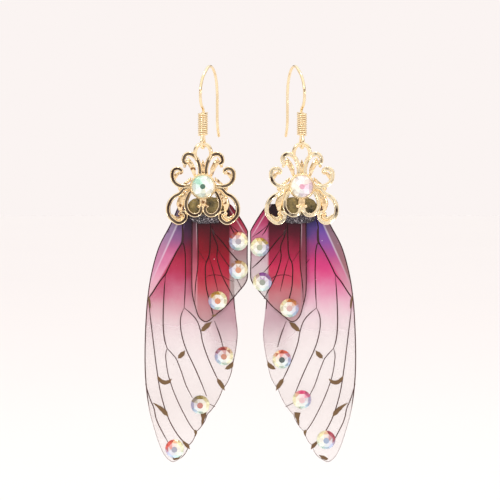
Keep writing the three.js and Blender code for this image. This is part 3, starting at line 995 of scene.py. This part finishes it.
def film_finish(name, size, color, cover):
    """A resin film, whose colour and cover are asked for by millimetres from the root corner."""
    recipe = material(name)
    x = recipe.uv("X") * size.x
    z = recipe.uv("Y") * -size.z
    cloud = recipe.noise(260.0)
    depth = (cloud - 0.5) * 4.0 - z
    cells = {"Vector": recipe.place(), "Scale": 1500.0}
    near = recipe.node("ShaderNodeTexVoronoi", {}, cells, output="Distance")
    kind = recipe.node("ShaderNodeTexVoronoi", {}, cells, output="Color")
    # Specks are rare, and a little less so near the root.
    rare = 0.985 - ((14.0 + z) / 14.0).clamped() * 0.05
    speck = (1.0 - near * 5.0).clamped() * recipe.part(kind, "Color", "Red").over(rare)
    base = recipe.mixed(speck * 0.8, color(recipe, x, z, depth), tint("fff2f6"))
    return recipe.finished({
        "Base Color": base,
        "Alpha": (cover(recipe, x, z, depth) + speck * 0.3).clamped(),
        "Roughness": 0.12 + cloud * 0.06,
        "Specular IOR Level": 0.16,
        "Coat Weight": 0.16,
        "Coat Roughness": 0.04,
        "Normal": recipe.bump(recipe.noise(900.0, 2.0), 0.1, 0.0001),
    })


def by_depth(recipe, depth, length, stops):
    """A ramp over the millimetres below the root, whose stops are (millimetres, colour digits)."""
    return recipe.ramp(depth / length, [(at / length, tint(code)) for at, code in stops], "B_SPLINE")


def cover_by_depth(recipe, depth, length, stops):
    """How much the film hides, whose stops are (millimetres, share)."""
    ramp = recipe.ramp(depth / length, [(at / length, grey(share)) for at, share in stops], "B_SPLINE")
    return recipe.part(ramp, "Color", "Red")


def forewing_color(field, edge, margin):
    """The field's ramp inside the root vein, the edge strip's outside it, and the margin's wash, with a
    painted shade beside the hindwing's tip and a painted highlight along the fold.

    The wash is a colour, its share at the tip, what it gains at the root and where it fades.
    """
    code, at_tip, more_at_root, fades_below = margin

    def color(recipe, x, z, depth):
        inner = by_depth(recipe, depth, FOREWING_RAMP, field)
        outer = by_depth(recipe, depth, FOREWING_RAMP, edge)
        crease = from_crease(x, z)
        share = at_tip + ((z + fades_below) / 12.0).clamped() * more_at_root
        outside = (0.5 - crease * 2.5).clamped() * share
        strip = recipe.mixed(outside, outer, tint(code))
        from_fork = z - FORK_Z
        root_vein = FORK_X + from_fork.at_most(0.0) * 0.583 + from_fork.at_least(0.0) * 0.13
        beyond_vein = (0.5 - (x - root_vein) * 2.2).clamped()
        body = recipe.mixed(beyond_vein, inner, strip)
        # Painted shade: the film darkens to mauve on the inner side, level with the hindwing's tip.
        shaded = recipe.mixed(beside_hindwing_shade(x, z) * 0.7, body, tint("b48e9a"))
        # Painted highlight: a pale streak along the fold, where the film catches the light.
        highlight_streak = crease.near(0.3) * ((z + 19.0) / 9.0).clamped()
        return recipe.mixed(highlight_streak * 0.5, shaded, tint("ece4f4"))

    return color


def beside_hindwing_shade(x, z):
    """The share of a painted shade, darker and mauve, on the forewing's inner side, level with the hindwing's
    tip.
    """
    return ((x - 12.5) / 3.0).clamped() * (z + 24.0).near(10.0)


def forewing_cover(recipe, x, z, depth):
    whole = cover_by_depth(recipe, depth, FOREWING_RAMP, [
        (0, 1.0), (5, 1.0), (9, 0.98), (13, 0.94), (16, 0.88), (19, 0.74), (22, 0.55), (25, 0.39), (28, 0.27),
        (31, 0.2), (34, 0.165), (37, 0.16), (40, 0.18), (43, 0.19), (46, 0.17), (49, 0.145), (52, 0.13),
        (55, 0.12)])
    # The painted shade beside the hindwing also makes the film there less clear.
    return whole + beside_hindwing_shade(x, z) * 0.3


def hindwing_color(field, open_side, fold):
    """The ramps of the middle field, of the side towards the other wing and of the folded strip, with painted
    highlights along a streak and the fold.
    """

    def color(recipe, x, z, depth):
        inner = by_depth(recipe, depth, HINDWING_RAMP, field)
        beyond = ((x - OPEN_SIDE_X) * 2.2).clamped()
        body = recipe.mixed(beyond, inner, by_depth(recipe, depth, HINDWING_RAMP, open_side))
        strip = ((1.35 - x) * 6.0).clamped()
        folded = recipe.mixed(strip * 0.9, body, by_depth(recipe, depth, HINDWING_RAMP, fold))
        # Painted highlights: a pale streak across the upper field and a pale line along the fold.
        highlight_streak = (x - 9.6 + (z + 3.5) * 0.6).near(0.22) * ((z + 7.5) / 2.5).clamped()
        fold_light = (x - 1.15).near(0.2) * ((z + 10.0) / 5.0).clamped()
        return recipe.mixed((highlight_streak * 0.6 + fold_light * 0.45).clamped(), folded, tint("ecd2de"))

    return color


def hindwing_cover(recipe, x, z, depth):
    whole = cover_by_depth(recipe, depth, HINDWING_RAMP, [
        (0, 1.0), (9, 0.98), (13, 0.94), (16, 0.88), (19, 0.74), (22, 0.58), (25, 0.46)])
    beyond = ((x - OPEN_SIDE_X) * 1.6).clamped() * ((depth - 7.0) / 6.0).clamped()
    return whole - beyond * 0.35


FOREWING_COLOR = {
    "left": forewing_color(
        [(0, "1e1830"), (4, "34223e"), (6.5, "4e2442"), (8, "651f3c"), (9.5, "7e1d38"), (12, "a6203e"),
         (14.5, "b83256"), (17, "c35478"), (19.5, "d27e98"), (22, "d8a2ae"), (25, "deb8c2"), (30, "e0c8cc"),
         (35, "dec6c6"), (40, "d2bab7"), (45, "d4bfbc"), (50, "dccac6"), (55, "e0d0cc")],
        [(0, "4c4468"), (4, "5c4c78"), (6.2, "7c5a8a"), (8, "a45c8a"), (10, "bf628e"), (12.5, "d87ca4"),
         (15, "e6a2bc"), (18, "eabac6"), (22, "ebcacf"), (28, "e6d4d3"), (34, "e6d8d6"), (40, "e6dad8")],
        ("b6a2be", 0.1, 0.26, 22)),
    "right": forewing_color(
        [(0, "1e1e4e"), (4, "34306e"), (6.2, "5c4084"), (8, "8c3e7e"), (10.5, "b03a70"), (12.5, "d23a7c"),
         (15, "da4c86"), (17, "e07ea8"), (19.5, "e8aac4"), (22, "eac4d2"), (26, "e6d0d6"), (30, "e4d0d2"),
         (35, "e0cece"), (40, "d6c2c0"), (45, "d8c6c3"), (50, "e0d0cd")],
        [(0, "4e4884"), (4, "52469c"), (7, "7450a4"), (9.5, "9c4c90"), (12, "c05888"), (14.5, "ce7698"),
         (17, "d698ac"), (20, "dcb4bc"), (25, "e0c8cb"), (40, "e2d6d4")],
        ("8e706a", 0.52, 0.25, 34)),
}
HINDWING_COLOR = {
    "left": hindwing_color(
        [(0, "1e050a"), (3, "2e0610"), (5, "460a16"), (7, "640c1c"), (9, "760c1c"), (11, "8e0e24"),
         (13, "ac1a36"), (15, "b42c42"), (17, "c24c58"), (19, "ca6670"), (21, "ce828a"), (25, "d4a8ac")],
        [(0, "7c1432"), (3.5, "9c1a3c"), (5.5, "a8384f"), (8, "9c6c78"), (11, "a88488"), (15, "bca4a4"),
         (19, "d0c2c0"), (25, "dfd4d0")],
        [(0, "341f28"), (4, "503640"), (6.5, "7c4656"), (10, "904254"), (13, "ba5a6e"), (16, "da8494"),
         (19, "de98a4"), (22, "e2acb4"), (25, "e2bcc2")]),
    "right": hindwing_color(
        [(0, "240812"), (3, "32081a"), (5, "46091c"), (7, "600f26"), (9, "861734"), (11, "a62246"),
         (13, "c62c56"), (15, "c8465e"), (17, "c86270"), (19, "ce8088"), (21.5, "d49ca2"), (25, "dab4b8")],
        [(0, "9a2250"), (4, "ae3460"), (6, "be648a"), (8, "c48ca2"), (12, "ccaeb8"), (16, "d8c4c8"),
         (25, "e0d6d8")],
        [(0, "3a2028"), (4, "56303e"), (7, "70384a"), (10, "7c3446"), (13, "8c4456"), (16, "a66274"),
         (20, "c48c98"), (25, "d4b0b6")]),
}
WINGS = {
    "forewing": (forewing_relief, FOREWING_VEINS, FOREWING_SPOTS, FOREWING_COLOR, forewing_cover),
    "hindwing": (hindwing_relief, HINDWING_VEINS, HINDWING_SPOTS, HINDWING_COLOR, hindwing_cover),
}


def film_wing(side, name):
    relief, lines, spots, colors, cover = WINGS[name]
    node = f"{side}_{name}"
    bm, corner, size = film_front(side, node)
    outline = [vert.co.copy() for vert in max(bm.faces, key=lambda face: face.calc_area()).verts]
    film_body(bm, size, relief)
    finish = film_finish(f"{node}_resin", size, colors[side], cover)
    piece(f"{node}_film", bm, corner, finish, f"{side}_drop", node)
    strokes = [rim_line(side, outline, name)] + vein_strokes(lines)
    printed("veins", strokes, INK_PROUD, INK_FINISH, corner, relief, side, name)
    printed("spots", spots, SPOT_PROUD, SPOT_FINISH, corner, relief, side, name)


# ---- The pair ----

for side in INWARD:
    ear_hook(side)
    hook_coil(side)
    filigree_cap(side)
    root_resin(side)
    film_wing(side, "forewing")
    film_wing(side, "hindwing")
    colors, table = CAP_STONES[side]
    crystal(side, f"{side}_cap_crystal", colors, table, "cap_crystal", 3)
    for number, (crown, table) in enumerate(WING_STONES[side]):
        owner = "hindwing" if number < 3 else "forewing"
        stone = f"{side}_{owner}_crystal_{number % 3 + 1}"
        crystal(side, stone, [crown, *COATING, crown], table, "wing_crystal", 11 + number * 7)


# ---- Stage ----


FLOOR_Z = -0.14
FLOOR_RADIUS = 2.5


def stage():
    recipe = material("pale_floor")
    shade = recipe.mixed(recipe.noise(3.0), tint("f5efed"), tint("f3edeb"))
    finish = recipe.finished({"Base Color": shade, "Roughness": 1.0, "Specular IOR Level": 0.0})
    bm = bmesh.new()
    bmesh.ops.create_circle(bm, segments=96, radius=FLOOR_RADIUS, cap_ends=True)
    bmesh.ops.translate(bm, verts=bm.verts, vec=(0, 0, FLOOR_Z))
    mesh = bpy.data.meshes.new("floor")
    bm.to_mesh(mesh)
    bm.free()
    mesh.materials.append(finish)
    floor = linked("floor", mesh)


def soft_light(name, place, size, power, color):
    data = bpy.data.lights.new(name, "AREA")
    data.shape = "DISK"
    data.size = size
    data.energy = power
    data.color = color
    lamp = linked(name, data)
    lamp.location = place
    lamp.rotation_euler = (Vector((0, 0, -0.04)) - Vector(place)).to_track_quat("-Z", "Y").to_euler()


def studio_light():
    """Two lamps in front and one above, in a pale room with a darker band over its walls."""
    soft_light("key", (-0.35, -0.55, 0.4), 0.14, 0.9, (1.0, 0.98, 0.96))
    soft_light("fill", (0.5, -0.45, 0.12), 0.12, 0.35, (1.0, 0.97, 0.97))
    soft_light("top", (0.05, 0.15, 0.6), 0.14, 0.5, (1.0, 1.0, 1.0))
    recipe = Recipe(bpy.data.worlds.new("studio"))
    direction = recipe.node("ShaderNodeTexCoord", {}, {}, output="Generated")
    up = recipe.part(direction, "XYZ", "Z")
    walls = tint("fbf4f2")
    band = tint("8e8078")
    color = recipe.ramp(up, [(0.0, walls), (0.2, walls), (0.26, band), (0.38, band), (0.46, grey(1.2)),
                             (1.0, grey(1.2))])
    light = recipe.node("ShaderNodeBackground", {}, {"Color": color, "Strength": 1.0})
    recipe.node("ShaderNodeOutputWorld", {}, {"Surface": light}, output=None)
    bpy.context.scene.world = recipe.owner


def camera():
    target = Vector((-0.0005, -0.003, -0.0382))
    distance = 0.42
    across = 0.105
    tilt = math.radians(3.5)
    data = bpy.data.cameras.new("camera")
    data.sensor_width = 36
    data.lens = 36 * distance / across
    data.clip_start = 0.01
    made = linked("camera", data)
    made.location = target + Vector((0, -distance * math.cos(tilt), distance * math.sin(tilt)))
    made.rotation_euler = (target - made.location).to_track_quat("-Z", "Y").to_euler()
    bpy.context.scene.camera = made
    bpy.context.scene.view_settings.view_transform = "Standard"


stage()
studio_light()
camera()
